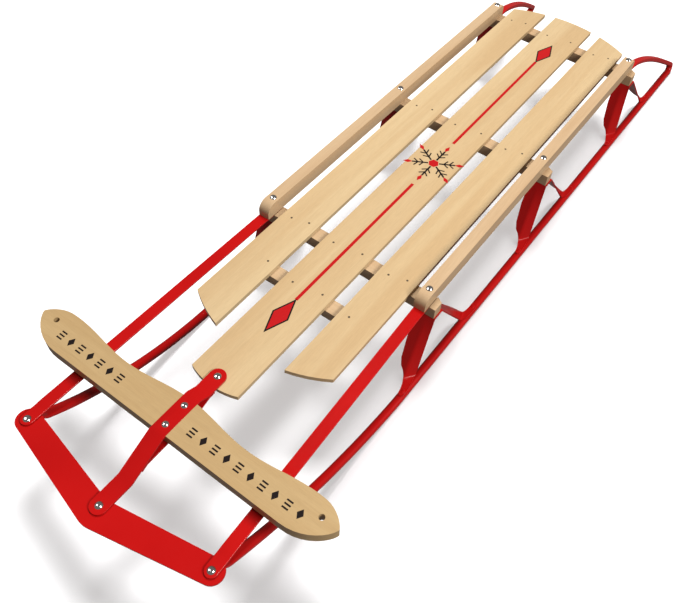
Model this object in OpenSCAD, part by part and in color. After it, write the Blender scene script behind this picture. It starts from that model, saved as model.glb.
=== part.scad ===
// Steerable runner sled: slatted wooden deck on steel knees and spring steel runners.
// +X is the rider's right seen from behind, the sled points along -Y, +Z is up.
// The origin lies on the ground under the middle of the sled.

/* [Deck] */
// Height of the side rails' top above the ground
deck_top = 163.5; // [155:0.5:175]
// Distance between neighbouring cross benches
bench_pitch = 348; // [330:1:360]
// Distance from the sled's centre plane to each side rail's centre
rail_x = 144; // [142:1:147]
// Width of a side rail
rail_w = 19; // [17:0.5:20]
// Height of a side rail
rail_h = 24.5; // [22:0.5:26]
// Thickness of the three slats
slat_t = 7.5; // [6:0.5:8]
// Width of the centre slat
centre_slat_w = 80; // [74:1:84]
// Width of each outer slat
outer_slat_w = 60; // [54:1:62]
// Gap between the centre slat and each outer slat
slat_gap = 21; // [18:0.5:22]
// Width of a cross bench, fore and aft
bench_w = 23; // [22:0.5:26]
// Thickness of a cross bench
bench_t = 20; // [18:0.5:22]
// Length of a cross bench
bench_len = 328; // [324:1:332]
// Length of the cleat that ties the slats together ahead of the front bench
cleat_len = 224; // [216:1:236]

/* [Steelwork] */
// Width of a runner's section
runner_w = 13; // [10:0.5:14]
// Height of a runner's section
runner_h = 10; // [9:0.5:10.5]
// Centre radius of the runner's tight rear bend
rear_bend_r = 9; // [8.5:0.5:11]
// Radius of the runner's front upsweep
upsweep_r = 620; // [612:1:626]
// Thickness of the knees' sheet steel
knee_t = 2.5; // [2:0.25:3]
// Thickness of the straps and of the bumper plate
strap_t = 3; // [2.5:0.25:3]
// Width of the spring strips that run forward from the side rails
strip_w = 18; // [16:0.5:18]

/* [Steering] */
// Width of the steering strap
steer_w = 23.5; // [21:0.5:24]
// Overall width of the wooden steering handle
handle_span = 500; // [490:1:510]
// Thickness of the steering handle
handle_t = 18.5; // [17:0.5:19]
// Diameter of the tow rope holes in the handle
tow_hole_d = 8; // [6:0.5:10]

/* [Fasteners] */
// Diameter of the rivet shanks
shank_d = 6; // [5:0.5:6]
// Diameter of the domed rivet heads
head_d = 11; // [10:0.5:12]
// Height of the domed rivet heads
head_h = 3; // [2:0.5:3.5]
// Diameter of the slat nails
nail_d = 2; // [1.5:0.1:2.5]

/* [Hidden] */
$fn = 96;
eps = 0.01;
wide = 900;
pin_gap = 0.05;     // running clearance round a pivot shank
slip = 0.1;         // gap between flat faces that slide on each other
shank_r = shank_d / 2;
hole_r = shank_r + pin_gap;

// Stations along the sled, measured from the front bench at 0, forward negative
front_reach = 514;
rear_reach = 971;
front_bench_y = (front_reach - rear_reach) / 2;
stations = [0, bench_pitch, 2 * bench_pitch];

// Heights
bench_top = deck_top - rail_h;
bench_bottom = bench_top - bench_t;
slat_top = bench_top + slat_t;
bumper_top = 125;
bumper_bottom = bumper_top - strap_t;
strip_tip_top = bumper_top + slip + strap_t;
handle_top = 157;
handle_bottom = handle_top - handle_t;

// Slat ends are arcs about the centre plane: [apex y, radius]
centre_front_arc = [-295.5, 107];
outer_front_arc = [-229, 222];
rear_arc = [763, 250];
slat_edge = centre_slat_w / 2 + slat_gap;

// Side rails
rail_front_y = -24;
rail_rear_y = 2 * bench_pitch + 11.5;
rail_nose_r = 16;
rail_tail_r = 9;

// Runners: the straight sole runs outwards a little towards the rear
hinge_y = -95;
corner = [156.6, -463.6];
bend_y = rear_reach - rear_bend_r - runner_h / 2;
sole_front_x = 168.6;
sole_rear_x = 176.9;
function sole_x(y) = sole_front_x + (sole_rear_x - sole_front_x) * (y - hinge_y) / (bend_y - hinge_y);
sole_end = 5;          // straight length of the front runner before its upsweep
knuckle_r = runner_w / 2;
knuckle_gap = 0.3;
tab_t = 3.4;           // flattened ends of the runners
tab_w = 16;
rear_leg_rise = 59;    // angle round the tight bend at which the rising leg starts
play_hole_r = 5.4;     // oversize hole that lets the bumper shift on a corner rivet

// Knees: a leg's crease and its outer edge land at these distances from the bench
front_crease_y = [-62, -52, -37];
front_outer_y = [-46, -34, -18];
rear_crease_y = [102, 110, 124];
rear_outer_y = [86, 95, 110];
foot_len = 28;
foot_w = 9.5;
foot_top = runner_h + knee_t;
plate_in_x = 128;
plate_out_x = 166;
crease_x = 153;
crease_inset = 13;     // from the runner's centre in to a front leg's crease, at the foot
rear_inset = 7;        // the same for a rear leg
outer_inset = 2;       // from the runner's centre in to the web's outer edge, at the foot
// Width of a leg's flange, inboard of the crease: [share of the way down, width]
flange_widths = [[0, 13], [0.18, 16.5], [0.4, 17.5], [0.73, 14.5], [0.84, 10.5], [0.92, 1]];

// Steering stations
pivot_y = -281.6;
handle_rivets = [-340.3, -373];
bumper_y = -486.9;
handle_rear_y = -334.5;
handle_front_y = -384.5;
grip_wave = 5;
grip_pitch = 205;
grip_end_x = 212;
nose_start_x = 190;
tip_y = -349.5;
tow_hole_x = 225;

// Foot rivets, closed inside the runner so that the sole stays smooth
foot_rivet_r = 2;
foot_rivet_z = 3;

// Cleat under the slats, ahead of the front bench
cleat_y = -96;
cleat_w = 22.5;
cleat_t = 17;

// Nails: offset from each bench's centre line
nail_dy = 4;
nail_len = 20;

function reverse(list) = [for (i = [len(list) - 1:-1:0]) list[i]];

// Closed outline of a flat band whose top follows the given points
function band(top, t) = concat(top, reverse([for (p = top) [p[0], p[1] - t]]));

// Moves a shape drawn from the front bench's station into the sled's own frame
module at_deck() {
    translate([0, front_bench_y, 0]) children();
}

// Draws a shape on the right (side 1) or mirrored on the left (side -1)
module on_side(side) {
    mirror([side < 0 ? 1 : 0, 0, 0]) children();
}

// Extrudes an outline drawn in (y, z) along X between two positions
module side_profile(x0, x1) {
    translate([x0, 0, 0]) rotate([90, 0, 90]) linear_extrude(height = x1 - x0) children();
}

// Extrudes an outline drawn in (x, z) along Y, over the whole length of the sled
module front_profile() {
    translate([0, wide, 0]) rotate([90, 0, 0]) linear_extrude(height = 2 * wide) children();
}

// Plan outline of a slat between two x positions, with arcs for its ends
module slat_plan(x0, x1, front, rear) {
    front_centre = front[0] + front[1];
    rear_centre = rear[0] - rear[1];
    intersection() {
        translate([x0, front[0]]) square([x1 - x0, rear[0] - front[0]]);
        union() {
            translate([0, front_centre]) circle(r = front[1], $fn = 180);
            translate([0, rear_centre]) circle(r = rear[1], $fn = 180);
            translate([x0, front_centre - front[1] * 0.5])
                square([x1 - x0, rear_centre + rear[1] * 0.5 - front_centre + front[1] * 0.5]);
        }
    }
}

// Nail positions: two in each slat at every bench; at the cleat the outer slats have only their inner nail
function nail_points() = [
    for (y = concat([cleat_y], stations), slat = [-1:1], side = [-1, 1]) if (y != cleat_y || slat != side)
        [slat * (slat_edge + outer_slat_w / 2) + side * (slat == 0 ? 24 : 14), y + side * nail_dy]
];

module nail_holes() {
    for (p = nail_points())
        translate([p[0], p[1], slat_top - nail_len]) cylinder(d = nail_d, h = nail_len + 1, $fn = 24);
}

// Vertical holes through everything that a row of rivets joins
module rivet_holes(points, z0, z1, r = hole_r) {
    for (p = points) translate([p[0], p[1], z0]) cylinder(r = r, h = z1 - z0);
}

function rail_rivet_points() = [for (y = stations, side = [-1, 1]) [side * rail_x, y]];

// Domed head, shank and closed tail of a rivet standing on z
module rivet(top, bottom, r_shank = shank_r, r_head = head_d / 2, h_head = head_h, r_tail = head_d / 2 - 1) {
    cap_r = (r_head * r_head + h_head * h_head) / (2 * h_head);
    translate([0, 0, top]) intersection() {
        translate([0, 0, h_head - cap_r]) sphere(r = cap_r);
        cylinder(r = r_head, h = h_head);
    }
    translate([0, 0, bottom - eps]) cylinder(r = r_shank, h = top - bottom + 2 * eps);
    translate([0, 0, bottom - 2]) cylinder(r = r_tail, h = 2);
}

module slat(x0, x1, front, rear) {
    color("burlywood") at_deck() difference() {
        translate([0, 0, bench_top]) linear_extrude(height = slat_t) slat_plan(x0, x1, front, rear);
        nail_holes();
        rivet_holes([[0, pivot_y]], bench_top - 1, slat_top + 1);
    }
}

module slat_left() {
    slat(-slat_edge - outer_slat_w, -slat_edge, outer_front_arc, rear_arc);
}

module slat_centre() {
    slat(-centre_slat_w / 2, centre_slat_w / 2, centre_front_arc, rear_arc);
}

module slat_right() {
    slat(slat_edge, slat_edge + outer_slat_w, outer_front_arc, rear_arc);
}

// Cross bench: a plain wooden bar with clipped rear corners. Notches in its top take
// the steel that lies between it and the side rails.
module bench(station, notch_w, notch_t) {
    clip = 9;
    half = bench_len / 2;
    color("tan") at_deck() difference() {
        translate([0, station, bench_bottom]) linear_extrude(height = bench_t) polygon([
            [-half, -bench_w / 2], [half, -bench_w / 2], [half, bench_w / 2 - clip * 0.6],
            [half - clip, bench_w / 2], [clip - half, bench_w / 2], [-half, bench_w / 2 - clip * 0.6]
        ]);
        nail_holes();
        rivet_holes(rail_rivet_points(), bench_bottom - 1, bench_top + 1);
        if (notch_w > 0) for (side = [-1, 1])
            translate([side * rail_x - notch_w / 2, station - bench_w, bench_top - notch_t])
                cube([notch_w, 2 * bench_w, notch_t + 1]);
    }
}

module bench_front() {
    bench(stations[0], strip_w + 2.4, strap_t + 2 * slip);
}

module bench_middle() {
    bench(stations[1], 0, 0);
}

module bench_rear() {
    bench(stations[2], tab_w + 0.4, tab_t);
}

// Cleat: a shorter bar that only ties the slats together
module cleat() {
    color("tan") at_deck() difference() {
        translate([-cleat_len / 2, cleat_y - cleat_w / 2, bench_top - cleat_t]) cube([cleat_len, cleat_w, cleat_t]);
        nail_holes();
    }
}

// Side view of a rail, its top corners rounded
module rail_outline() {
    length = rail_rear_y - rail_front_y;
    intersection() {
        square([length, rail_h]);
        union() {
            translate([rail_nose_r, 0]) square([length - rail_nose_r - rail_tail_r, rail_h]);
            square([length, rail_h - rail_nose_r]);
            translate([length / 2, 0]) square([length / 2, rail_h - rail_tail_r]);
            translate([rail_nose_r, rail_h - rail_nose_r]) circle(r = rail_nose_r);
            translate([length - rail_tail_r, rail_h - rail_tail_r]) circle(r = rail_tail_r);
        }
    }
}

module side_rail(side) {
    color("navajowhite") at_deck() difference() {
        on_side(side) translate([0, rail_front_y, bench_top])
            side_profile(rail_x - rail_w / 2, rail_x + rail_w / 2) rail_outline();
        rivet_holes(rail_rivet_points(), bench_top - 1, deck_top + 1);
    }
}

// Side view of a leg's flange: a plate sloping from the bench's edge down to the foot
function flange_side(edge, landing) =
    let (run = landing - edge, drop = bench_bottom - foot_top,
        across = sign(landing) * knee_t * sqrt(run * run + drop * drop) / drop)
    [[edge, bench_bottom], [landing, foot_top], [landing - across, foot_top], [edge - across, bench_bottom]];

// Front view of a point on a leg's crease, u of the way down
function crease(x_low, u) = [
    crease_x + (x_low - crease_x) * u, bench_bottom - (bench_bottom - foot_top) * u
];

// Flange of a leg: faces fore or aft, wide in the middle, with a shoulder above the foot
module flange(edge, landing, x_low) {
    intersection() {
        side_profile(plate_in_x, sole_rear_x) polygon(flange_side(edge, landing));
        front_profile() polygon(concat(
            [crease(x_low, 0) + [knee_t / 2, 0], crease(x_low, 1) + [knee_t / 2, 0]],
            reverse([for (w = flange_widths) crease(x_low, w[0]) - [w[1], 0]])
        ));
    }
}

// Flat plate between two edges, each given by its top and bottom point, thickened by push
module slab(top_a, top_b, bottom_b, bottom_a, push) {
    face = [top_a, top_b, bottom_b, bottom_a];
    polyhedron(points = concat(face, [for (p = face) p + push]), faces = [
        [0, 1, 2], [0, 2, 3], [4, 6, 5], [4, 7, 6], [0, 4, 5], [0, 5, 1],
        [1, 5, 6], [1, 6, 2], [2, 6, 7], [2, 7, 3], [3, 7, 4], [3, 4, 0]
    ]);
}

// Web of a leg: from the crease to the outer edge, turning outwards on its way down
module web(edge, y_crease, y_outer, x_foot, x_low) {
    aft = sign(y_crease);
    top_a = [crease_x, edge, bench_bottom];
    top_b = [plate_out_x, edge, bench_bottom];
    low_a = [x_low, y_crease, foot_top - 0.5];
    low_b = [x_foot - outer_inset, y_outer, foot_top - 0.5];
    push = [-knee_t * 0.6, -aft * knee_t, 0];
    if (aft > 0) slab(top_a, low_a, low_b, top_b, push);
    else slab(top_a, top_b, low_b, low_a, push);
}

// Foot: a flat tongue from the web's lower edge along the runner's top
module foot(y_crease, y_outer, x_foot, x_low) {
    tip = y_crease + sign(y_crease) * foot_len;
    translate([0, 0, runner_h]) linear_extrude(height = knee_t) polygon([
        [x_low - 1, y_crease], [x_foot - foot_w / 2, tip], [x_foot + foot_w / 2, tip],
        [x_foot + foot_w / 2, y_outer], [x_foot - outer_inset - 1.5, y_outer - sign(y_crease) * knee_t]
    ]);
}

module leg(edge, y_crease, y_outer, x_foot) {
    x_low = x_foot - (y_crease < 0 ? crease_inset : rear_inset);
    flange(edge, y_crease, x_low);
    web(edge, y_crease, y_outer, x_foot, x_low);
    foot(y_crease, y_outer, x_foot, x_low);
}

// Knee: top plate under the bench, two legs and two feet pressed from one sheet
module knee(index, side) {
    station = stations[index];
    edge = bench_w / 2;
    color("firebrick") at_deck() difference() {
        on_side(side) translate([0, station, 0]) {
            translate([plate_in_x, -edge, bench_bottom - knee_t])
                cube([plate_out_x - plate_in_x, bench_w, knee_t]);
            leg(-edge, front_crease_y[index], front_outer_y[index], sole_x(station + front_crease_y[index]));
            leg(edge, rear_crease_y[index], rear_outer_y[index], sole_x(station + rear_crease_y[index]));
        }
        rivet_holes(rail_rivet_points(), bench_bottom - knee_t - 1, bench_bottom + 1);
        rivet_holes(knee_rivet_points(), runner_h - 1, foot_top + 1, foot_rivet_r);
    }
}

function knee_rivet_points() = [
    for (i = [0:2], side = [-1, 1], dy = [front_crease_y[i] - foot_len + 9, rear_crease_y[i] + foot_len - 9])
        [side * sole_x(stations[i] + dy), stations[i] + dy]
];

// Runner section: flat sole, upright sides and a rolled, faceted top, centred on the path
function runner_ring(w, h) = [
    [-w / 2, -h / 2], [w / 2, -h / 2], [w / 2, h * 0.15], [w * 0.3, h / 2], [-w * 0.3, h / 2], [-w / 2, h * 0.15]
];

// Point of a section carried along a path: x stays level, z turns with the path's slope
function place(station, p) = [
    station[0] + p[0], station[1] - sin(station[3]) * p[1], station[2] + cos(station[3]) * p[1]
];

// Solid swept through stations [x, y, z, slope, width, height]
module sweep(path) {
    n = 6;
    rings = [for (s = path) for (p = runner_ring(s[4], s[5])) place(s, p)];
    last = (len(path) - 1) * n;
    faces = concat(
        [[for (k = [0:n - 1]) k]],
        [for (i = [0:len(path) - 2], k = [0:n - 1])
            [i * n + k, (i + 1) * n + k, (i + 1) * n + (k + 1) % n, i * n + (k + 1) % n]],
        [[for (k = [n - 1:-1:0]) last + k]]
    );
    polyhedron(points = rings, faces = faces, convexity = 8);
}

// Rear runner path: sole, tight bend, rising leg that leans in and curves forward, flat tab
tab_y = stations[2] + bench_w / 2 - 1;
tab_z = bench_top - tab_t / 2;
bend_z = runner_h / 2 + rear_bend_r;
leg_start = [bend_y + rear_bend_r * cos(rear_leg_rise), bend_z + rear_bend_r * sin(rear_leg_rise)];
leg_steps = 16;
leg_bow = 0.35;
tab_share = 0.86;
function leg_y(t) = leg_start[0] + (tab_y - leg_start[0]) * t;
function leg_z(t) = leg_start[1] + (tab_z - leg_start[1]) * ((1 + leg_bow) * t - leg_bow * t * t * t);
function leg_slope(t) = 180 - atan2((tab_z - leg_start[1]) * (1 + leg_bow - 3 * leg_bow * t * t), leg_start[0] - tab_y);
// The runner leans in as it rises, from the sole to the side rail
function lean_x(z) = sole_rear_x + (rail_x - sole_rear_x) * (z - runner_h / 2) / (tab_z - runner_h / 2);
function taper(t, bar, tab) = t < tab_share ? bar : bar + (tab - bar) * (t - tab_share) / (1 - tab_share);

function rear_path() = concat(
    [[sole_front_x, hinge_y + knuckle_gap, runner_h / 2, 0, runner_w, runner_h],
     [sole_rear_x, bend_y, runner_h / 2, 0, runner_w, runner_h]],
    [for (a = [-75:15:rear_leg_rise - 8]) let (z = bend_z + rear_bend_r * sin(a))
        [lean_x(z), bend_y + rear_bend_r * cos(a), z, a + 90, runner_w, runner_h]],
    [for (i = [0:leg_steps]) let (t = i / leg_steps)
        [lean_x(leg_z(t)), leg_y(t), leg_z(t), leg_slope(t), taper(t, runner_w, tab_w), taper(t, runner_h, tab_t)]],
    [[rail_x, stations[2] - bench_w / 2, tab_z, 180, tab_w, tab_t]]
);

module runner_rear(side) {
    color("crimson") at_deck() difference() {
        on_side(side) sweep(rear_path());
        for (s = [-1, 1]) translate([s * sole_front_x, hinge_y, -1])
            cylinder(r = knuckle_r + knuckle_gap, h = runner_h + 2);
        rivet_holes(rail_rivet_points(), bench_top - 6, bench_top + 1);
        rivet_holes(knee_rivet_points(), foot_rivet_z, runner_h + 1, foot_rivet_r);
    }
}

// Front runner path: short level stretch, upsweep, then a flat tab under the bumper
splay = atan((sole_front_x - corner[0]) / (hinge_y - corner[1]));
reach = sqrt(pow(sole_front_x - corner[0], 2) + pow(hinge_y - corner[1], 2));
upsweep_end = 33.4;
upsweep_steps = 24;
tab_flat = 10.5;       // flat length of the tab behind the corner rivet
tab_top = bumper_bottom - slip;
function upsweep(i) = upsweep_end * i / upsweep_steps;

function front_path() = concat(
    [[0, 0, runner_h / 2, 0, runner_w, runner_h]],
    [for (i = [0:upsweep_steps - 1]) [0, -sole_end - upsweep_r * sin(upsweep(i)),
        runner_h / 2 + upsweep_r * (1 - cos(upsweep(i))), -upsweep(i), runner_w, runner_h]],
    [[0, tab_flat + 6 - reach, tab_top - tab_t / 2 - 4.5, -32, tab_w - 2, tab_t + 2.5],
     [0, tab_flat - reach, tab_top - tab_t / 2, 0, tab_w, tab_t],
     [0, -7 - reach, tab_top - tab_t / 2, 0, tab_w, tab_t]]
);

module runner_front(side) {
    color("crimson") at_deck() on_side(side) translate([sole_front_x, hinge_y, 0]) rotate([0, 0, -splay])
        difference() {
            union() {
                sweep(front_path());
                cylinder(r = knuckle_r, h = runner_h * 0.9);
                translate([0, -7 - reach, tab_top - tab_t]) cylinder(r = tab_w / 2, h = tab_t);
            }
            translate([0, -reach, tab_top - 10]) cylinder(r = play_hole_r, h = 12);
        }
}

// Spring strip: flat steel from the front bench forward to the bumper's corner
strip_reach = sqrt(pow(corner[0] - rail_x, 2) + pow(corner[1], 2));
strip_splay = atan((corner[0] - rail_x) / -corner[1]);
strip_top = bench_top - slip;

module spring_strip(side) {
    color("red") at_deck() on_side(side) translate([rail_x, 0, 0]) rotate([0, 0, strip_splay])
        difference() {
            intersection() {
                side_profile(-strip_w, strip_w) polygon(band([
                    [bench_w / 2, strip_top], [rail_front_y - 3, strip_top], [30 - strip_reach, strip_tip_top + 1],
                    [18 - strip_reach, strip_tip_top], [-strip_w - strip_reach, strip_tip_top]
                ], strap_t));
                linear_extrude(height = deck_top) {
                    translate([-strip_w / 2, -strip_reach]) square([strip_w, strip_reach + bench_w]);
                    translate([0, -strip_reach]) circle(d = strip_w);
                }
            }
            rivet_holes([[0, 0], [0, -strip_reach]], bumper_bottom, deck_top);
        }
}

// Bumper: flat chevron plate between the two corners, rounded at its nose
bumper_r = 16;
nose_r = 40;
nose_spread = 13;
bumper_half = concat(
    [for (i = [1:6]) [nose_r * sin(nose_spread * i / 6), nose_r * (1 - cos(nose_spread * i / 6)) - front_reach]],
    [[corner[0] + 3.2, corner[1] - bumper_r + 0.3], [corner[0] - 3.2, corner[1] + bumper_r - 0.3]]
);

module bumper() {
    color("firebrick") at_deck() difference() {
        translate([0, 0, bumper_bottom]) linear_extrude(height = strap_t) {
            polygon(concat([[0, -front_reach]], bumper_half, [[0, bumper_y + 10.5]],
                reverse([for (p = bumper_half) [-p[0], p[1]]])));
            for (side = [-1, 1]) translate([side * corner[0], corner[1]]) circle(r = bumper_r);
        }
        rivet_holes([[0, bumper_y]], bumper_bottom - 1, bumper_top + 1);
        for (side = [-1, 1]) translate([side * corner[0], corner[1], bumper_bottom - 1])
            cylinder(r = play_hole_r, h = strap_t + 2);
    }
}

// Plan outline shared by the two steering straps, round at both ends
module steering_plan(y_rear, y_front, r_rear) {
    hull_w = steer_w / 2;
    translate([-hull_w, y_front]) square([steer_w, y_rear - y_front]);
    translate([0, y_rear]) circle(r = r_rear);
    translate([0, y_front]) circle(r = r_rear);
}

module steering_strap() {
    color("red") at_deck() difference() {
        intersection() {
            side_profile(-steer_w, steer_w) polygon(band([
                [pivot_y + steer_w, slat_top + slip + strap_t], [-309, slat_top + slip + strap_t],
                [-324, handle_top], [handle_front_y - 4, handle_top],
                [-446, strip_tip_top], [bumper_y - steer_w, strip_tip_top]
            ], strap_t));
            linear_extrude(height = deck_top) steering_plan(pivot_y, bumper_y, steer_w / 2);
        }
        rivet_holes([for (y = concat([pivot_y, bumper_y], handle_rivets)) [0, y]], bumper_bottom, deck_top);
    }
}

// Lower strap: passes under the handle and meets the steering strap fore and aft of it
module lower_strap() {
    color("red") at_deck() difference() {
        side_profile(-steer_w / 2, steer_w / 2) polygon([
            [-300, slat_top + slip], [-309, slat_top + slip], [-329, handle_bottom], [-418.6, handle_bottom],
            [-428, handle_bottom - 4.7], [-428, handle_bottom - 7.7], [-419, handle_bottom - strap_t],
            [-330, handle_bottom - strap_t], [-309, slat_top + slip - strap_t], [-300, slat_top + slip - strap_t]
        ]);
        rivet_holes([for (y = handle_rivets) [0, y]], handle_bottom - strap_t - 1, handle_bottom + 1);
    }
}

// Handle outline: the rear edge waves between the middle and the grips, the front is straight
function grip_rear(x) = handle_rear_y + grip_wave * cos(360 * x / grip_pitch);
function tip_rear(u) = tip_y + (grip_rear(grip_end_x) - tip_y) * pow(1 - u * u, 0.8);
function tip_front(u) = tip_y + (handle_front_y - tip_y) * pow(1 - u * u, 0.72);
function between(a, b, u) = a + (b - a) * u;
grip_steps = 36;
tip_steps = 10;
rear_edge = [for (i = [-grip_steps:grip_steps]) [grip_end_x * i / grip_steps, grip_rear(grip_end_x * i / grip_steps)]];
rear_tip = [for (i = [1:tip_steps]) let (u = sin(90 * i / tip_steps))
    [between(grip_end_x, handle_span / 2, u), tip_rear(u)]];
front_tip = [for (i = [tip_steps - 1:-1:0]) let (u = sin(90 * i / tip_steps))
    [between(nose_start_x, handle_span / 2, u), tip_front(u)]];
right_end = concat(rear_tip, front_tip);

module steering_handle() {
    color("burlywood") at_deck() difference() {
        translate([0, 0, handle_bottom]) linear_extrude(height = handle_t) polygon(
            concat(rear_edge, right_end, reverse([for (p = right_end) [-p[0], p[1]]]))
        );
        translate([-steer_w / 2 - slip, handle_front_y - 20, handle_top - strap_t])
            cube([steer_w + 2 * slip, 80, strap_t + 1]);
        rivet_holes([for (y = handle_rivets) [0, y]], handle_bottom - 1, handle_top + 1);
        for (side = [-1, 1]) translate([side * tow_hole_x, -350, handle_bottom - 1])
            cylinder(d = tow_hole_d, h = handle_t + 2);
    }
}

module rail_rivets() {
    color("silver") at_deck() for (p = rail_rivet_points())
        translate([p[0], p[1], 0]) rivet(deck_top, bench_bottom - knee_t);
}

module knee_rivets() {
    color("firebrick") at_deck() for (p = knee_rivet_points()) translate([p[0], p[1], 0]) {
        translate([0, 0, foot_rivet_z]) cylinder(r = foot_rivet_r, h = foot_top - foot_rivet_z + eps);
        translate([0, 0, foot_top]) intersection() {
            translate([0, 0, -6.8]) sphere(r = 8);
            cylinder(r = 4, h = 2);
        }
    }
}

module slat_nails() {
    color("dimgray") at_deck() for (p = nail_points())
        translate([p[0], p[1], slat_top - nail_len]) cylinder(d = nail_d - 0.04, h = nail_len, $fn = 24);
}

module handle_rivet_pair() {
    color("silver") at_deck() for (y = handle_rivets)
        translate([0, y, 0]) rivet(handle_top, handle_bottom - strap_t, r_head = 5);
}

// Pivot of the steering strap on the centre slat
module pivot_rivet() {
    color("silver") at_deck() translate([0, pivot_y, 0])
        rivet(slat_top + 2 * slip + strap_t, bench_top, r_tail = 8);
}

module bumper_rivet() {
    color("silver") at_deck() translate([0, bumper_y, 0]) rivet(strip_tip_top, bumper_bottom - slip);
}

module corner_rivet(side) {
    color("silver") at_deck() translate([side * corner[0], corner[1], 0])
        rivet(strip_tip_top, tab_top - tab_t - slip, r_tail = 7.5);
}

slat_left();
slat_centre();
slat_right();
bench_front();
bench_middle();
bench_rear();
cleat();
side_rail(-1);  // side_rail_left
side_rail(1);  // side_rail_right
knee(0, -1);  // knee_front_left
knee(0, 1);  // knee_front_right
knee(1, -1);  // knee_middle_left
knee(1, 1);  // knee_middle_right
knee(2, -1);  // knee_rear_left
knee(2, 1);  // knee_rear_right
runner_rear(-1);  // runner_rear_left
runner_rear(1);  // runner_rear_right
runner_front(-1);  // runner_front_left
runner_front(1);  // runner_front_right
spring_strip(-1);  // spring_strip_left
spring_strip(1);  // spring_strip_right
bumper();
steering_strap();
lower_strap();
steering_handle();
rail_rivets();
knee_rivets();
slat_nails();
handle_rivet_pair();
pivot_rivet();
bumper_rivet();
corner_rivet(-1);  // corner_rivet_left
corner_rivet(1);  // corner_rivet_right
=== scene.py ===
"""Wooden sled with spring steel runners: visible pieces, materials, light and camera round the frame."""

import math

import bmesh
import bpy
from mathutils import Matrix, Vector


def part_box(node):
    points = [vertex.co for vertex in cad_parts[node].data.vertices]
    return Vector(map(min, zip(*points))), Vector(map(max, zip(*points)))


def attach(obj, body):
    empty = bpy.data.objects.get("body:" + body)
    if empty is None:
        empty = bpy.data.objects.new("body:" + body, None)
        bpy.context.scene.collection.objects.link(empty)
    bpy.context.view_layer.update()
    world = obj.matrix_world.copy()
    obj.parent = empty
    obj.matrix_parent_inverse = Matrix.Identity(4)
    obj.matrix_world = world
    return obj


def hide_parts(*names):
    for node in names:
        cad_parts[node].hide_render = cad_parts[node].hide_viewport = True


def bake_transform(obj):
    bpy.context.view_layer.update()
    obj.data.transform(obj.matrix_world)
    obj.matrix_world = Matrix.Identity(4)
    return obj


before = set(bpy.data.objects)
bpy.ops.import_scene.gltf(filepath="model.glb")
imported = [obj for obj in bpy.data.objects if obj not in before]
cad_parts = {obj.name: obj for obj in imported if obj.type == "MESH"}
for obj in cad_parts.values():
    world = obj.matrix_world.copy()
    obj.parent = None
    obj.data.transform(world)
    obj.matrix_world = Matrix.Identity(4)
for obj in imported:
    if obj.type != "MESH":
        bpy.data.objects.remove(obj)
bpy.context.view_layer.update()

MM = 0.001
SIDES = {"left": -1, "right": 1}
STATIONS = ("front", "middle", "rear")

# Driving dimensions in millimetres, as in the part's source
RUNNER_W, RUNNER_H = 13.0, 10.0
SOLE_X0, SOLE_X1 = 168.6, 176.9  # centre of the sole at its front and rear end
SOLE_END = 5.0  # straight stretch ahead of the hinge
HINGE_AHEAD = 95  # of the front bench
UPSWEEP_R, UPSWEEP_END = 620.0, 33.4  # radius, and degrees of arc
BEND_R = 9.0
LEG_RISE = 59  # degrees round the tight bend where the rising leg starts
LEG_BOW = 0.35  # bow of the rising leg, 0 for a straight one
TAB_W, TAB_T = 16.0, 3.4
TAB_FLAT = 10.5  # flat stretch behind the corner rivet
KNEE_T = 2.5
FOOT_W = 9.5
STRAP_T = 3.0
STRIP_W = 18.0
SLIP = 0.1  # gap between flat faces that slide on each other
PLAY_HOLE_R = 5.4
RIVET_HOLE_R = 3.05
DRILL_DEPTH = 14


def mm_box(node):
    """Lowest and highest corner of a CAD node, in millimetres."""
    low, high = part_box(node)
    return [v / MM for v in low], [v / MM for v in high]


def islands(node):
    """Lowest and highest corner of each separate solid in a CAD node, in metres."""
    bm = bmesh.new()
    bm.from_mesh(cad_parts[node].data)
    bmesh.ops.remove_doubles(bm, verts=bm.verts, dist=1e-6)
    todo, found = set(bm.verts), []
    while todo:
        stack = [todo.pop()]
        group = list(stack)
        while stack:
            for edge in stack.pop().link_edges:
                for vert in edge.verts:
                    if vert in todo:
                        todo.discard(vert)
                        stack.append(vert)
                        group.append(vert)
        low = Vector([min(v.co[i] for v in group) for i in range(3)])
        high = Vector([max(v.co[i] for v in group) for i in range(3)])
        found.append((low, high))
    bm.free()
    return sorted(found, key=lambda box: (round(box[0].y, 4), round(box[0].x, 4)))


# Places read from the frame, in millimetres
BENCH_Y = [sum(c[1] for c in mm_box("bench_" + s)) / 2 for s in STATIONS]
BENCH_BOTTOM, BENCH_TOP = mm_box("bench_middle")[0][2], mm_box("bench_middle")[1][2]
BENCH_W = mm_box("bench_middle")[1][1] - mm_box("bench_middle")[0][1]
RAIL_X = sum(c[0] for c in mm_box("side_rail_right")) / 2
BUMPER_BOTTOM, BUMPER_TOP = mm_box("bumper")[0][2], mm_box("bumper")[1][2]
CORNER = [sum(c[i] for c in mm_box("corner_rivet_right")) / 2 for i in (0, 1)]
SLAT_TOP = mm_box("slat_centre")[1][2]
HINGE_Y = BENCH_Y[0] - HINGE_AHEAD
BEND_Y = mm_box("runner_rear_right")[1][1] - BEND_R - RUNNER_H / 2
# Heights of the drill's middle at the rail rivets and at the corner rivets
RAIL_HOLE_Z = BENCH_TOP - 2
TAB_HOLE_Z, STRIP_HOLE_Z = BUMPER_BOTTOM - 2, BUMPER_TOP + 1.6


def sole_x(y):
    """Centre of the runner's straight sole, which flares a little towards the rear."""
    return SOLE_X0 + (SOLE_X1 - SOLE_X0) * (y - HINGE_Y) / (BEND_Y - HINGE_Y)


# ---------------------------------------------------------------- mesh helpers


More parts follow.
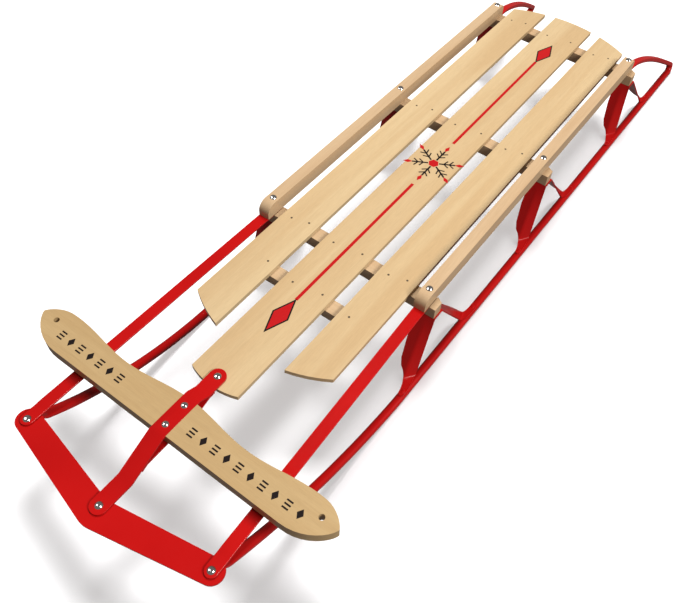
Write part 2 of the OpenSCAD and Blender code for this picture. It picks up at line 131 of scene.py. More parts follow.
def add(name, bm, body, *nodes, slot, material):
    """Makes a piece of a bmesh: it rides on body, stands for the CAD nodes and takes the material."""
    mesh = bpy.data.meshes.new(name)
    bmesh.ops.recalc_face_normals(bm, faces=bm.faces)
    bm.to_mesh(mesh)
    bm.free()
    piece = bpy.data.objects.new(name, mesh)
    bpy.context.scene.collection.objects.link(piece)
    mesh.materials.append(material)
    if body:
        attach(piece, body)
    if nodes:
        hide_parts(*nodes)
    return piece


def apply_modifiers(piece):
    """Bakes the piece's modifiers into its mesh."""
    graph = bpy.context.evaluated_depsgraph_get()
    mesh = bpy.data.meshes.new_from_object(piece.evaluated_get(graph))
    old = piece.data
    piece.modifiers.clear()
    piece.data = mesh
    mesh.name = old.name
    bpy.data.meshes.remove(old)


def smooth(piece, angle=35):
    """Smooth shading, with edges sharper than angle kept crisp."""
    for polygon in piece.data.polygons:
        polygon.use_smooth = True
    piece.data.set_sharp_from_angle(angle=math.radians(angle))
    modifier = piece.modifiers.new("flat_faces", "WEIGHTED_NORMAL")
    modifier.keep_sharp = True
    modifier.weight = 100
    apply_modifiers(piece)


def bevel(piece, width, segments=3, angle=30):
    """Rounds every edge sharper than angle; width in millimetres."""
    modifier = piece.modifiers.new("round", "BEVEL")
    modifier.width = width * MM
    modifier.segments = segments
    modifier.limit_method = "ANGLE"
    modifier.angle_limit = math.radians(angle)
    modifier.use_clamp_overlap = True
    modifier.miter_outer = "MITER_ARC"
    apply_modifiers(piece)


def refined(node, body, material, slot, width, segments=3):
    """A copy of a CAD node's shape with rounded edges and smooth shading, which replaces the node."""
    bm = bmesh.new()
    bm.from_mesh(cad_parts[node].data)
    bmesh.ops.remove_doubles(bm, verts=bm.verts, dist=2e-6)
    bmesh.ops.dissolve_limit(bm, angle_limit=math.radians(0.6), verts=bm.verts, edges=bm.edges)
    piece = add(node + "_piece", bm, body, node, slot=slot, material=material)
    bevel(piece, width, segments)
    smooth(piece)
    return piece


def drill(piece, holes):
    """Cuts round vertical holes, each (x, y, middle height, radius) in millimetres, through the piece."""
    for x, y, z, radius in holes:
        bm = bmesh.new()
        bmesh.ops.create_cone(
            bm, cap_ends=True, segments=40, radius1=radius * MM, radius2=radius * MM, depth=DRILL_DEPTH * MM,
            matrix=Matrix.Translation((x * MM, y * MM, z * MM)),
        )
        mesh = bpy.data.meshes.new("cutter")
        bm.to_mesh(mesh)
        bm.free()
        cutter = bpy.data.objects.new("cutter", mesh)
        bpy.context.scene.collection.objects.link(cutter)
        modifier = piece.modifiers.new("hole", "BOOLEAN")
        modifier.operation = "DIFFERENCE"
        modifier.object = cutter
        modifier.solver = "EXACT"
        apply_modifiers(piece)
        bpy.data.objects.remove(cutter)


def sweep(stations, ring_at):
    """Closed tube through stations (x, y, z, slope); ring_at(i) gives the section's (across, up) points.

    Across is +X; up is square to the path, whose slope is in radians in the YZ plane. Millimetres."""
    bm = bmesh.new()
    rings = []
    for i, (x, y, z, slope) in enumerate(stations):
        up = (-math.sin(slope), math.cos(slope))
        places = [((x + a) * MM, (y + b * up[0]) * MM, (z + b * up[1]) * MM) for a, b in ring_at(i)]
        rings.append([bm.verts.new(place) for place in places])
    count = len(rings[0])
    for one, two in zip(rings, rings[1:]):
        for k in range(count):
            bm.faces.new((one[k], one[(k + 1) % count], two[(k + 1) % count], two[k]))
    bm.faces.new(rings[0][::-1])
    bm.faces.new(rings[-1])
    return bm


def slopes(points):
    """Adds to each (x, y, z) of a path its slope in the YZ plane, in radians.

    The paths run towards -Y, so half a turn is added to make a section's "up" point up."""
    out = []
    for i, point in enumerate(points):
        a, b = points[max(i - 1, 0)], points[min(i + 1, len(points) - 1)]
        out.append((*point, math.atan2(b[2] - a[2], b[1] - a[1]) + math.pi))
    return out


def to_side(bm, side):
    """Mirrors a right-hand shape when side is the left, -1."""
    if side < 0:
        bmesh.ops.scale(bm, vec=(-1, 1, 1), verts=bm.verts)
        bmesh.ops.reverse_faces(bm, faces=bm.faces)


def flat_ring(half_w, thick, edge=0.9):
    """Section of a flat strip with rounded edges."""
    half_t = thick / 2
    edge = min(edge, half_t * 0.95, half_w * 0.9)
    ring = []
    for cx, cy, start in ((1, -1, -90), (1, 1, 0), (-1, 1, 90), (-1, -1, 180)):
        for step in range(4):
            a = math.radians(start + 30 * step)
            across, up = edge * math.cos(a), edge * math.sin(a)
            ring.append((cx * (half_w - edge) + across, cy * (half_t - edge) + up))
    return ring


def both_sides(half):
    """Closed ring whose right half is given from its lowest to its highest point."""
    left = [(-x, z) for x, z in half[-2:0:-1]]
    return left[-1:] + half + left[:-1]


# The runner's rolled section: flat sole, upright flanks and a ridged top, as shares of half width and height
ROLLED = both_sides([
    (0.0, -1.0), (0.78, -1.0), (0.95, -0.92), (1.0, -0.72), (1.0, 0.2),
    (0.95, 0.42), (0.78, 0.62), (0.6, 0.86), (0.34, 0.98), (0.0, 1.0),
])
# The same ring flattened into a strap end
FLATTENED = both_sides([
    (0.0, -1.0), (0.94, -1.0), (0.985, -0.85), (1.0, -0.5), (1.0, 0.3),
    (0.99, 0.65), (0.95, 0.92), (0.85, 1.0), (0.5, 1.0), (0.0, 1.0),
])


def ease(t):
    """0 to 1 with level ends."""
    t = min(max(t, 0.0), 1.0)
    return t * t * (3 - 2 * t)


# ---------------------------------------------------------------- materials


def srgb(r, g, b):
    """Linear colour of an sRGB one given in 0 to 255."""

    def one(v):
        v /= 255
        return v / 12.92 if v <= 0.04045 else ((v + 0.055) / 1.055) ** 2.4
    return (one(r), one(g), one(b), 1.0)


class Shader:
    """Small helper round one material's node tree."""

    def __init__(self, name):
        self.material = bpy.data.materials.new(name)
        self.material.use_nodes = True
        self.tree = self.material.node_tree
        self.surface = self.tree.nodes["Principled BSDF"]
        self.coords = self.tree.nodes.new("ShaderNodeTexCoord").outputs["Object"]

    def node(self, kind, **values):
        """A new node with the given properties."""
        made = self.tree.nodes.new(kind)
        for key, value in values.items():
            setattr(made, key, value)
        return made

    def link(self, source, target):
        self.tree.links.new(source, target)

    def stretched(self, scale, offset=(0, 0, 0)):
        """Object coordinates scaled per axis."""
        mapping = self.node("ShaderNodeMapping")
        mapping.inputs["Scale"].default_value = scale
        mapping.inputs["Location"].default_value = offset
        self.link(self.coords, mapping.inputs["Vector"])
        return mapping.outputs["Vector"]

    def noise(self, vector, detail=4.0, distortion=0.0, rough=0.5):
        """Noise over coordinates that are scaled already."""
        made = self.node("ShaderNodeTexNoise")
        made.inputs["Scale"].default_value = 1.0
        made.inputs["Detail"].default_value = detail
        made.inputs["Roughness"].default_value = rough
        made.inputs["Distortion"].default_value = distortion
        self.link(vector, made.inputs["Vector"])
        return made.outputs["Fac"]

    def ramp(self, value, stops):
        """Colour looked up in (place, colour) stops."""
        made = self.node("ShaderNodeValToRGB")
        elements = made.color_ramp.elements
        while len(elements) < len(stops):
            elements.new(0.5)
        for element, (place, colour) in zip(elements, stops):
            element.position = place
            element.color = colour
        self.link(value, made.inputs["Fac"])
        return made.outputs["Color"]

    def mix(self, share, one, two, kind="MIX"):
        """Blend of two colours, each a value or a socket."""
        made = self.node("ShaderNodeMix", data_type="RGBA", blend_type=kind)
        if isinstance(share, float):
            made.inputs["Factor"].default_value = share
        else:
            self.link(share, made.inputs["Factor"])
        for name, value in (("A", one), ("B", two)):
            sockets = [s for s in made.inputs if s.name == name and s.type == "RGBA"]
            if isinstance(value, tuple):
                sockets[0].default_value = value
            else:
                self.link(value, sockets[0])
        return [s for s in made.outputs if s.type == "RGBA"][0]

    def bump(self, height, strength, distance):
        """Relief of the surface, distance in metres."""
        made = self.node("ShaderNodeBump")
        made.inputs["Strength"].default_value = strength
        made.inputs["Distance"].default_value = distance
        self.link(height, made.inputs["Height"])
        self.link(made.outputs["Normal"], self.surface.inputs["Normal"])

    def set(self, **values):
        """Values of the surface's inputs, spaces written as underscores."""
        for key, value in values.items():
            self.surface.inputs[key.replace("_", " ")].default_value = value


def wood(name, light, dark, along, offset):
    """Varnished pale wood with its grain along one axis (0 is X, 1 is Y)."""
    shader = Shader(name)

    def scale(length, width):
        """Noise scale along the grain and across it."""
        values = [width, width, width]
        values[along] = length
        return tuple(values)

    broad = shader.noise(shader.stretched(scale(1.6, 26), offset), detail=3, distortion=0.6)
    streaks = shader.noise(shader.stretched(scale(7, 210), offset), detail=5, distortion=0.25, rough=0.6)
    fibres = shader.noise(shader.stretched(scale(60, 1700), offset), detail=3, rough=0.7)
    flecks = shader.noise(shader.stretched(scale(130, 900), offset), detail=2)
    base = shader.ramp(broad, [(0.36, dark), (0.62, light)])
    deep = tuple(c * 0.84 for c in dark[:3]) + (1.0,)
    lines = shader.ramp(streaks, [(0.47, (0, 0, 0, 1)), (0.72, (1, 1, 1, 1))])
    base = shader.mix(0.25, base, shader.mix(lines, base, deep))
    spots = shader.ramp(flecks, [(0.63, (0, 0, 0, 1)), (0.72, (1, 1, 1, 1))])
    base = shader.mix(0.16, base, shader.mix(spots, base, deep))
    fine = shader.ramp(fibres, [(0.3, (0.90, 0.90, 0.90, 1)), (0.7, (1.04, 1.04, 1.04, 1))])
    base = shader.mix(1.0, base, fine, "MULTIPLY")
    shader.link(base, shader.surface.inputs["Base Color"])
    shader.link(
        shader.ramp(streaks, [(0.3, (0.36, 0.36, 0.36, 1)), (0.8, (0.48, 0.48, 0.48, 1))]),
        shader.surface.inputs["Roughness"],
    )
    shader.bump(fibres, 0.25, 0.00012)
    shader.set(Coat_Weight=0.22, Coat_Roughness=0.22, Specular_IOR_Level=0.4)
    return shader.material


def enamel(name, bright, deep):
    """Glossy paint over rolled steel: faint orange peel and a slight change of depth."""
    shader = Shader(name)
    clouds = shader.noise(shader.stretched((9, 9, 9)), detail=3)
    peel = shader.noise(shader.stretched((420, 420, 420)), detail=2)
    dust = shader.noise(shader.stretched((60, 60, 60)), detail=4)
    shader.link(shader.ramp(clouds, [(0.35, deep), (0.65, bright)]), shader.surface.inputs["Base Color"])
    shader.link(
        shader.ramp(dust, [(0.35, (0.30, 0.30, 0.30, 1)), (0.75, (0.42, 0.42, 0.42, 1))]),
        shader.surface.inputs["Roughness"],
    )
    shader.bump(peel, 0.12, 0.0001)
    shader.set(Coat_Weight=0.12, Coat_Roughness=0.12, Specular_IOR_Level=0.22)
    return shader.material


def metal(name, colour, low, high):
    """Plated or bare steel with fine wear in its gloss."""
    shader = Shader(name)
    wear = shader.noise(shader.stretched((700, 700, 700)), detail=4)
    shade = tuple(c * 0.82 for c in colour[:3]) + (1.0,)
    shader.link(shader.ramp(wear, [(0.3, shade), (0.7, colour)]), shader.surface.inputs["Base Color"])
    shader.link(
        shader.ramp(wear, [(0.3, (low, low, low, 1)), (0.7, (high, high, high, 1))]),
        shader.surface.inputs["Roughness"],
    )
    shader.bump(wear, 0.05, 0.00005)
    shader.set(Metallic=1.0)
    return shader.material


def ink(name, colour):
    """Screen printed ink: slightly uneven cover."""
    shader = Shader(name)
    cover = shader.noise(shader.stretched((900, 900, 900)), detail=3)
    pale = tuple(min(1.0, c * 1.2) for c in colour[:3]) + (1.0,)
    shader.link(shader.ramp(cover, [(0.4, colour), (0.75, pale)]), shader.surface.inputs["Base Color"])
    shader.set(Roughness=0.42, Coat_Weight=0.2, Coat_Roughness=0.25)
    return shader.material


SLAT_LIGHT, SLAT_DARK = srgb(188, 164, 126), srgb(179, 151, 112)
RAIL_LIGHT, RAIL_DARK = srgb(182, 155, 122), srgb(172, 142, 108)
SLAT_WOOD = {
    "left": wood("birch_left", SLAT_LIGHT, SLAT_DARK, 1, (0.3, 0.0, 0.1)),
    "centre": wood("birch_centre", SLAT_LIGHT, SLAT_DARK, 1, (1.7, 0.4, 0.6)),
    "right": wood("birch_right", SLAT_LIGHT, SLAT_DARK, 1, (2.9, 1.1, 0.2)),
}
RAIL_WOOD = wood("rail_birch", RAIL_LIGHT, RAIL_DARK, 1, (0.0, 3.1, 1.4))
BENCH_WOOD = wood("bench_birch", RAIL_LIGHT, RAIL_DARK, 0, (4.4, 0.2, 0.9))
HANDLE_WOOD = wood("handle_birch", srgb(175, 149, 108), srgb(166, 138, 97), 0, (2.2, 2.4, 0.3))
RED = enamel("red_enamel", srgb(167, 13, 12), srgb(159, 10, 10))
CHROME = metal("rivet_chrome", (0.80, 0.80, 0.81, 1.0), 0.10, 0.24)
NAIL = metal("nail_steel", (0.62, 0.50, 0.36, 1.0), 0.35, 0.55)
INK_DARK = ink("dark_ink", srgb(20, 12, 12))
INK_RED = ink("red_ink", srgb(160, 12, 16))

# ---------------------------------------------------------------- wood


def build_wood():
    """Slats, benches, cleat, side rails and handle: the CAD shapes with worn edges."""
    for place, material in SLAT_WOOD.items():
        refined("slat_" + place, "deck", material, "slat_wood", 1.3)
    for node in ["bench_" + s for s in STATIONS] + ["cleat"]:
        refined(node, "deck", BENCH_WOOD, "frame_wood", 1.4)
    for side in SIDES:
        refined("side_rail_" + side, "deck", RAIL_WOOD, "frame_wood", 2.6, 4)
    refined("steering_handle", "steering", HANDLE_WOOD, "frame_wood", 2.6, 4)


# ---------------------------------------------------------------- runners

LEG_FLATTENS = (0.84, 0.14)  # start and length, as shares of the leg, of its change into a tab
FLATTEN_ON_ARC, FLATTEN_ON_BLEND = 5, 3  # steps of the upsweep and of its end that change into the front tab
# Stations over the front tab, measured from the corner rivet and closer together round its tip
TAB_STATIONS = (-7, -3, 0, 2.5, 4.8, 6.4, 7.4, 7.9)


def leg_point(t):
    """Centre of the runner's rising rear leg, t from the tight bend to the rear bench."""
    rise = math.radians(LEG_RISE)
    bend_z = RUNNER_H / 2 + BEND_R
    start = (BEND_Y + BEND_R * math.cos(rise), bend_z + BEND_R * math.sin(rise))
    end = (BENCH_Y[2] + BENCH_W / 2 - 1, BENCH_TOP - TAB_T / 2)
    z = start[1] + (end[1] - start[1]) * ((1 + LEG_BOW) * t - LEG_BOW * t ** 3)
    return start[0] + (end[0] - start[0]) * t, z


def lean_x(z):
    """The rising leg leans in from the sole to the side rail."""
    top = BENCH_TOP - TAB_T / 2
    return SOLE_X1 + (RAIL_X - SOLE_X1) * (z - RUNNER_H / 2) / (top - RUNNER_H / 2)


def runner_path():
    """Points (x, y, z) from the rear tab round the bend to the front tab, and the flatness of each."""
    points, flat = [], []

    def put(x, y, z, flatness):
        """Next point of the path."""
        points.append((x, y, z))
        flat.append(flatness)

    for share in (0.0, 0.5):
        put(RAIL_X, BENCH_Y[2] - BENCH_W / 2 + share * BENCH_W, BENCH_TOP - TAB_T / 2, 1.0)
    leg_steps = 44
    for i in range(leg_steps, -1, -1):
        t = i / leg_steps
        y, z = leg_point(t)
        put(lean_x(z), y, z, ease((t - LEG_FLATTENS[0]) / LEG_FLATTENS[1]))
    for a in range(50, -90, -7):
        y = BEND_Y + BEND_R * math.cos(math.radians(a))
        z = RUNNER_H / 2 + BEND_R + BEND_R * math.sin(math.radians(a))
        put(lean_x(z), y, z, 0.0)
    sole_steps = 30
    for i in range(sole_steps + 1):
        y = BEND_Y + (HINGE_Y - BEND_Y) * i / sole_steps
        put(sole_x(y), y, RUNNER_H / 2, 0.0)
    run, drop = SOLE_X0 - CORNER[0], HINGE_Y - CORNER[1]
    reach = math.hypot(run, drop)
    tab_z = BUMPER_BOTTOM - SLIP - TAB_T / 2

    def forward(distance, z, flatness):
        """Next point on the straight line, seen from above, from the hinge to the corner."""
        put(SOLE_X0 - run * distance / reach, HINGE_Y - drop * distance / reach, z, flatness)

    arc_steps = 34
    flatten_steps = FLATTEN_ON_ARC + FLATTEN_ON_BLEND
    for i in range(arc_steps + 1):
        a = math.radians(UPSWEEP_END * i / arc_steps)
        forward(SOLE_END + UPSWEEP_R * math.sin(a), RUNNER_H / 2 + UPSWEEP_R * (1 - math.cos(a)),
                ease((i - arc_steps + FLATTEN_ON_ARC) / flatten_steps))
    arc_z = points[-1][2]
    arc_d = SOLE_END + UPSWEEP_R * math.sin(math.radians(UPSWEEP_END))
    # A cubic curve takes the upsweep's slope down to the level tab
    blend_d = reach - TAB_FLAT - arc_d
    grade = math.tan(math.radians(UPSWEEP_END))
    blend_steps = 6
    for i in range(1, blend_steps + 1):
        t = i / blend_steps
        h00, h10 = 2 * t ** 3 - 3 * t * t + 1, t ** 3 - 2 * t * t + t
        z = h00 * arc_z + h10 * blend_d * grade + (1 - h00) * tab_z
        forward(arc_d + blend_d * t, z, ease((FLATTEN_ON_ARC + t * FLATTEN_ON_BLEND) / flatten_steps))
    for distance in TAB_STATIONS:
        forward(reach + distance, tab_z, 1.0)
    return points, flat


def build_runner(side_name):
    """Runner bar in one piece, from the rear bench to the bumper's corner, which bends over its front."""
    side = SIDES[side_name]
    points, flat = runner_path()
    corner_gap = [math.hypot(p[0] - CORNER[0], p[1] - CORNER[1]) for p in points]
    blunt = 0.6  # least square of the half width, so that the round tip ends in a short edge

    def ring(i):
        """Section at a station: rolled, flattened or between, and narrowing round the tip."""
        share = flat[i]
        half_w = (RUNNER_W + (TAB_W - RUNNER_W) * share) / 2
        half_h = (RUNNER_H + (TAB_T - RUNNER_H) * share) / 2
        if points[i][1] < CORNER[1]:
            half_w = math.sqrt(max((TAB_W / 2) ** 2 - corner_gap[i] ** 2, blunt))
        out = []
        for (a0, b0), (a1, b1) in zip(ROLLED, FLATTENED):
            out.append((half_w * (a0 + (a1 - a0) * share), half_h * (b0 + (b1 - b0) * share)))
        return out

    bm = sweep(slopes(points), ring)
    to_side(bm, side)
    nodes = ["runner_rear_" + side_name, "runner_front_" + side_name]
    piece = add("runner_bar_" + side_name, bm, None, *nodes, slot="red_enamel", material=RED)
    drill(piece, [
        (side * CORNER[0], CORNER[1], TAB_HOLE_Z, PLAY_HOLE_R),
        (side * RAIL_X, BENCH_Y[2], RAIL_HOLE_Z, RIVET_HOLE_R),
    ])
    smooth(piece, 38)
    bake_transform(piece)


# ---------------------------------------------------------------- straps and bumper

STRIP_LEVEL = 27  # from the front bench's middle to where the strip leaves the level
STEP_FROM, STEP_TO = 30, 18  # distances before the corner between which the strip settles on the bumper
STEP_H = 1


def build_strip(side_name):
    """Spring strip from under the side rail's front end to the bumper's corner."""
    side = SIDES[side_name]
    run, drop = CORNER[0] - RAIL_X, BENCH_Y[0] - CORNER[1]
    reach = math.hypot(run, drop)
    top0, top1 = BENCH_TOP - SLIP, BUMPER_TOP + SLIP + STRAP_T
    blunt = 0.8  # least square of the half width, so that the round tip ends in a short edge

    def height(d):
        """Height of the strip's top at a distance from the front bench."""
        low, mid, high = STRIP_LEVEL, reach - STEP_FROM, reach - STEP_TO
        if d <= low:
            return top0
        if d >= high:
            return top1
        if d <= mid:
            return top0 + (top1 + STEP_H - top0) * (d - low) / (mid - low)
        return top1 + STEP_H - ease((d - mid) / (high - mid))

    # Stations: on the bench, down the long slope, over the step to the bumper and round the tip
    slope_from, slope_steps = STRIP_LEVEL + 5, 40
    slope_len = reach - (slope_from + STEP_FROM)
    distances = [-BENCH_W / 2, -6, 0, 12, 22, STRIP_LEVEL, slope_from]
    distances += [slope_from + slope_len * i / slope_steps for i in range(1, slope_steps + 1)]
    distances += [reach - STEP_FROM + 3 * i for i in range(1, 5)] + [reach - STRIP_W / 2, reach]
    distances += [reach + STRIP_W / 2 * math.sin(math.radians(a)) for a in (20, 40, 55, 68, 78, 86)]
    points = []
    for d in distances:
        points.append((RAIL_X + run * d / reach, BENCH_Y[0] - drop * d / reach, height(d) - STRAP_T / 2))

    def ring(i):
        """Section at a station, narrowing round the tip."""
        half = STRIP_W / 2
        if distances[i] > reach:
            half = math.sqrt(max(half * half - (distances[i] - reach) ** 2, blunt))
        return flat_ring(half, STRAP_T)

    bm = sweep(slopes(points), ring)
    to_side(bm, side)
    node = "spring_strip_" + side_name
    piece = add(node + "_piece", bm, None, node, slot="red_enamel", material=RED)
    drill(piece, [
        (side * RAIL_X, BENCH_Y[0], RAIL_HOLE_Z, RIVET_HOLE_R),
        (side * CORNER[0], CORNER[1], STRIP_HOLE_Z, RIVET_HOLE_R),
    ])
    smooth(piece, 38)
    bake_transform(piece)


def build_straps():
    """Steering strap, lower strap and bumper plate."""
    refined("steering_strap", "steering", RED, "red_enamel", 0.7, 3)
    refined("lower_strap", "steering", RED, "red_enamel", 0.7, 3)
    refined("bumper", "bumper", RED, "red_enamel", 0.8, 3)


# ---------------------------------------------------------------- knees

# Where each leg's crease and outer edge land, fore and aft of the bench: front, middle and rear knee
FRONT_CREASE_Y, FRONT_OUTER_Y = (-62, -52, -37), (-46, -34, -18)
REAR_CREASE_Y, REAR_OUTER_Y = (102, 110, 124), (86, 95, 110)
PLATE_IN_X, PLATE_OUT_X, CREASE_X = 128.0, 166.0, 153.0
# How far inside the sole's centre the front crease, the rear crease and the outer edges land
FRONT_INSET, REAR_INSET, OUTER_INSET = 13.0, 7.0, 2.0
# Width of the flange inside the crease, by share of the way down the leg
FLANGE_WIDTHS = (
    (0.0, 13.0), (0.18, 16.5), (0.4, 17.5), (0.73, 14.5), (0.84, 10.5), (0.92, 2.0), (1.0, 0.4),
)
FOOT_LEN = 28
TIP_FROM, TIP_LEN = 0.82, 0.18  # start and length of the foot's rounded tip, as shares of the foot
FRONT_TURN, REAR_TURN = 1.8, 4.0  # how quickly each foot narrows to its width
FRONT_EASE, REAR_EASE = (7, 14), (4, 4)  # rows on each side of the landing that are softened, and passes
SHEET_SHARE = 0.98  # the visible sheet's thickness over the CAD sheet's

# Spans of the knee's grid
FLAT_SPANS, FOLD_SPANS, LEG_SPANS, FOOT_SPANS = 5, 6, 44, 20
ACROSS_SPANS = 2 * FLAT_SPANS + FOLD_SPANS


def interpolate(table, value):
    """Value of a table of (place, value) pairs, on straight lines between them."""
    for (x0, y0), (x1, y1) in zip(table, table[1:]):
        if value <= x1:
            return y0 + (y1 - y0) * max(0.0, (value - x0) / (x1 - x0))
    return table[-1][1]


def folded(inner, crease, outer, round_over=3.0):
    """Points across a leg: flat to the crease, a rounded fold, flat to the outer edge."""
    inward, outward = inner - crease, outer - crease
    cut_in = min(round_over, inward.length * 0.8)
    cut_out = min(round_over, outward.length * 0.45)
    start = crease + inward.normalized() * cut_in
    stop = crease + outward.normalized() * cut_out
    row = [inner.lerp(start, i / FLAT_SPANS) for i in range(FLAT_SPANS)]
    for i in range(FOLD_SPANS + 1):
        t = i / FOLD_SPANS
        row.append(start * (1 - t) ** 2 + crease * 2 * t * (1 - t) + stop * t * t)
    return row + [stop.lerp(outer, i / FLAT_SPANS) for i in range(1, FLAT_SPANS + 1)]


def knee_half(index, sign):
    """Rows of points across the sheet, from the knee's middle out over one leg and along its foot.

    Sign is 1 for the rear leg and -1 for the front one."""
    if sign > 0:
        y_crease, y_outer, inset = REAR_CREASE_Y[index], REAR_OUTER_Y[index], REAR_INSET
        turn, (reach, passes) = REAR_TURN, REAR_EASE
    else:
        y_crease, y_outer, inset = FRONT_CREASE_Y[index], FRONT_OUTER_Y[index], FRONT_INSET
        turn, (reach, passes) = FRONT_TURN, FRONT_EASE
    base_y = BENCH_Y[index]
    x_foot = sole_x(base_y + y_crease)
    half_t = KNEE_T / 2
    z_top, z_foot = BENCH_BOTTOM - half_t, RUNNER_H + half_t
    edge = sign * (BENCH_W / 2 - half_t)
    plate_w = PLATE_OUT_X - PLATE_IN_X
    across_xs = [PLATE_IN_X + plate_w * k / ACROSS_SPANS for k in range(ACROSS_SPANS + 1)]
    rows = []
    for y in (0.0, edge * 0.5, edge - sign * 1.5):
        rows.append([Vector((x, y, z_top)) for x in across_xs])
    crease_top, outer_top = Vector((CREASE_X, edge, z_top)), Vector((PLATE_OUT_X, edge, z_top))
    crease_low = Vector((x_foot - inset, y_crease - sign * half_t, z_foot))
    outer_low = Vector((x_foot - OUTER_INSET, y_outer - sign * half_t, z_foot))
    # Rows down the leg, closer together where the flange runs out
    downs = [i / LEG_SPANS for i in range(LEG_SPANS - 3)] + [0.925, 0.94, 0.955, 0.97, 0.98, 0.99, 1.0]
    for down in downs:
        crease = crease_top.lerp(crease_low, down)
        outer = outer_top.lerp(outer_low, down)
        width = interpolate(FLANGE_WIDTHS, down)
        rows.append(folded(crease - Vector((width, 0, 0)), crease, outer))
    landing_row = len(rows) - 1
    tip_y = y_crease + sign * FOOT_LEN
    tip_x = sole_x(base_y + tip_y)
    last = rows[-1]
    for i in range(1, FOOT_SPANS + 1):
        share = i / FOOT_SPANS
        narrow = 1.0
        if share > TIP_FROM:
            narrow = math.sqrt(max(1 - ((share - TIP_FROM) / TIP_LEN) ** 2, 0.03))
        row = []
        for k, point in enumerate(last):
            across = k / ACROSS_SPANS * 2 - 1
            target = Vector((tip_x + across * FOOT_W / 2, tip_y, z_foot))
            x = point.x + (target.x - point.x) * (1 - (1 - share) ** turn)
            x = tip_x + (x - tip_x) * narrow
            row.append(Vector((x, point.y + (target.y - point.y) * share, z_foot)))
        rows.append(row)
    for _ in range(passes):
        eased = {}
        for r in range(landing_row - reach, landing_row + reach):
            eased[r] = [(a + b * 2 + c) / 4 for a, b, c in zip(rows[r - 1], rows[r], rows[r + 1])]
        for r, row in eased.items():
            rows[r] = row
    return [[(p.x, base_y + p.y, max(p.z, z_foot)) for p in row] for row in rows]


def build_knee(place, side_name):
    """One pressed sheet: the plate under the bench, a leg fore and aft, and their feet."""
    side = SIDES[side_name]
    index = STATIONS.index(place)
    front, rear = knee_half(index, -1), knee_half(index, 1)
    rows = front[::-1] + rear[1:]
    bm = bmesh.new()
    grid = [[bm.verts.new((side * x * MM, y * MM, z * MM)) for x, y, z in row] for row in rows]
    for one, two in zip(grid, grid[1:]):
        for k in range(len(one) - 1):
            bm.faces.new((one[k], one[k + 1], two[k + 1], two[k]))
    node = "knee_%s_%s" % (place, side_name)
    piece = add(node + "_piece", bm, "deck", node, slot="red_enamel", material=RED)
    sheet = piece.modifiers.new("sheet", "SOLIDIFY")
    sheet.thickness = KNEE_T * SHEET_SHARE * MM
    sheet.offset = 0.0
    sheet.use_even_offset = False
    apply_modifiers(piece)
    bevel(piece, 0.6, 2, 50)
    smooth(piece, 40)


# ---------------------------------------------------------------- fasteners

NAIL_SHANK_R, NAIL_HEAD_R = 1.0, 1.9
NAIL_HEAD_DEPTH, NAIL_HEAD_RISE = 0.6, 0.25  # below and above the slat's face
NAIL_TAPER = 0.9


def chrome_rivet(node, body):
    """Rivet with a polished head."""
    return refined(node, body, CHROME, "rivet_chrome", 0.25, 2)


def build_fasteners():
    """All rivets and the slats' nails; returns the chrome rivets."""
    rivets = [
        chrome_rivet("rail_rivets", "deck"),
        chrome_rivet("pivot_rivet", "deck"),
        chrome_rivet("handle_rivet_pair", "steering"),
        chrome_rivet("bumper_rivet", "steering"),
    ]
    rivets += [chrome_rivet("corner_rivet_" + side, "strip_" + side) for side in SIDES]
    refined("knee_rivets", "deck", RED, "red_enamel", 0.25, 2)
    bm = bmesh.new()
    for low, high in islands("slat_nails"):
        centre = (low + high) / 2
        face = high.z / MM
        shank = (NAIL_SHANK_R, low.z / MM, face)
        head = (NAIL_HEAD_R, face - NAIL_HEAD_DEPTH, face + NAIL_HEAD_RISE)
        for radius, bottom, top in (shank, head):
            bmesh.ops.create_cone(
                bm, cap_ends=True, segments=20, radius1=radius * MM, radius2=radius * NAIL_TAPER * MM,
                depth=(top - bottom) * MM,
                matrix=Matrix.Translation((centre.x, centre.y, (top + bottom) / 2 * MM)),
            )
    nails = add("slat_nail_heads", bm, "deck", "slat_nails", slot="nail_steel", material=NAIL)
    smooth(nails, 40)
    return rivets


# ---------------------------------------------------------------- printed marks: plain generic shapes

PRINT_T, PRINT_SINK = 0.16, 0.05  # thickness of the printed layer, and how much of it lies in the wood


def plate(bm, outline, z):
    """Thin printed layer with the given outline, in millimetres, lying on height z."""
    low = [bm.verts.new((x * MM, y * MM, (z - PRINT_SINK) * MM)) for x, y in outline]
    high = [bm.verts.new((x * MM, y * MM, (z + PRINT_T - PRINT_SINK) * MM)) for x, y in outline]
    bm.faces.new(high)
    bm.faces.new(low[::-1])
    for i in range(len(outline)):
        j = (i + 1) % len(outline)
        bm.faces.new((low[i], low[j], high[j], high[i]))


def diamond(cx, cy, half_x, half_y):
    """Upright diamond round a centre."""
    return [(cx - half_x, cy), (cx, cy - half_y), (cx + half_x, cy), (cx, cy + half_y)]


def bar(p, q, width):
    """Rectangle between two points."""
    d = (Vector(q) - Vector(p)).normalized()
    n = Vector((-d[1], d[0])) * width / 2
    return [tuple(Vector(p) - n), tuple(Vector(q) - n), tuple(Vector(q) + n), tuple(Vector(p) + n)]


def diamond_along(centre, out, across, half_out, half_across):
    """Diamond whose long axis points along out."""
    return [tuple(centre - out * half_out), tuple(centre + across * half_across),
            tuple(centre + out * half_out), tuple(centre - across * half_across)]


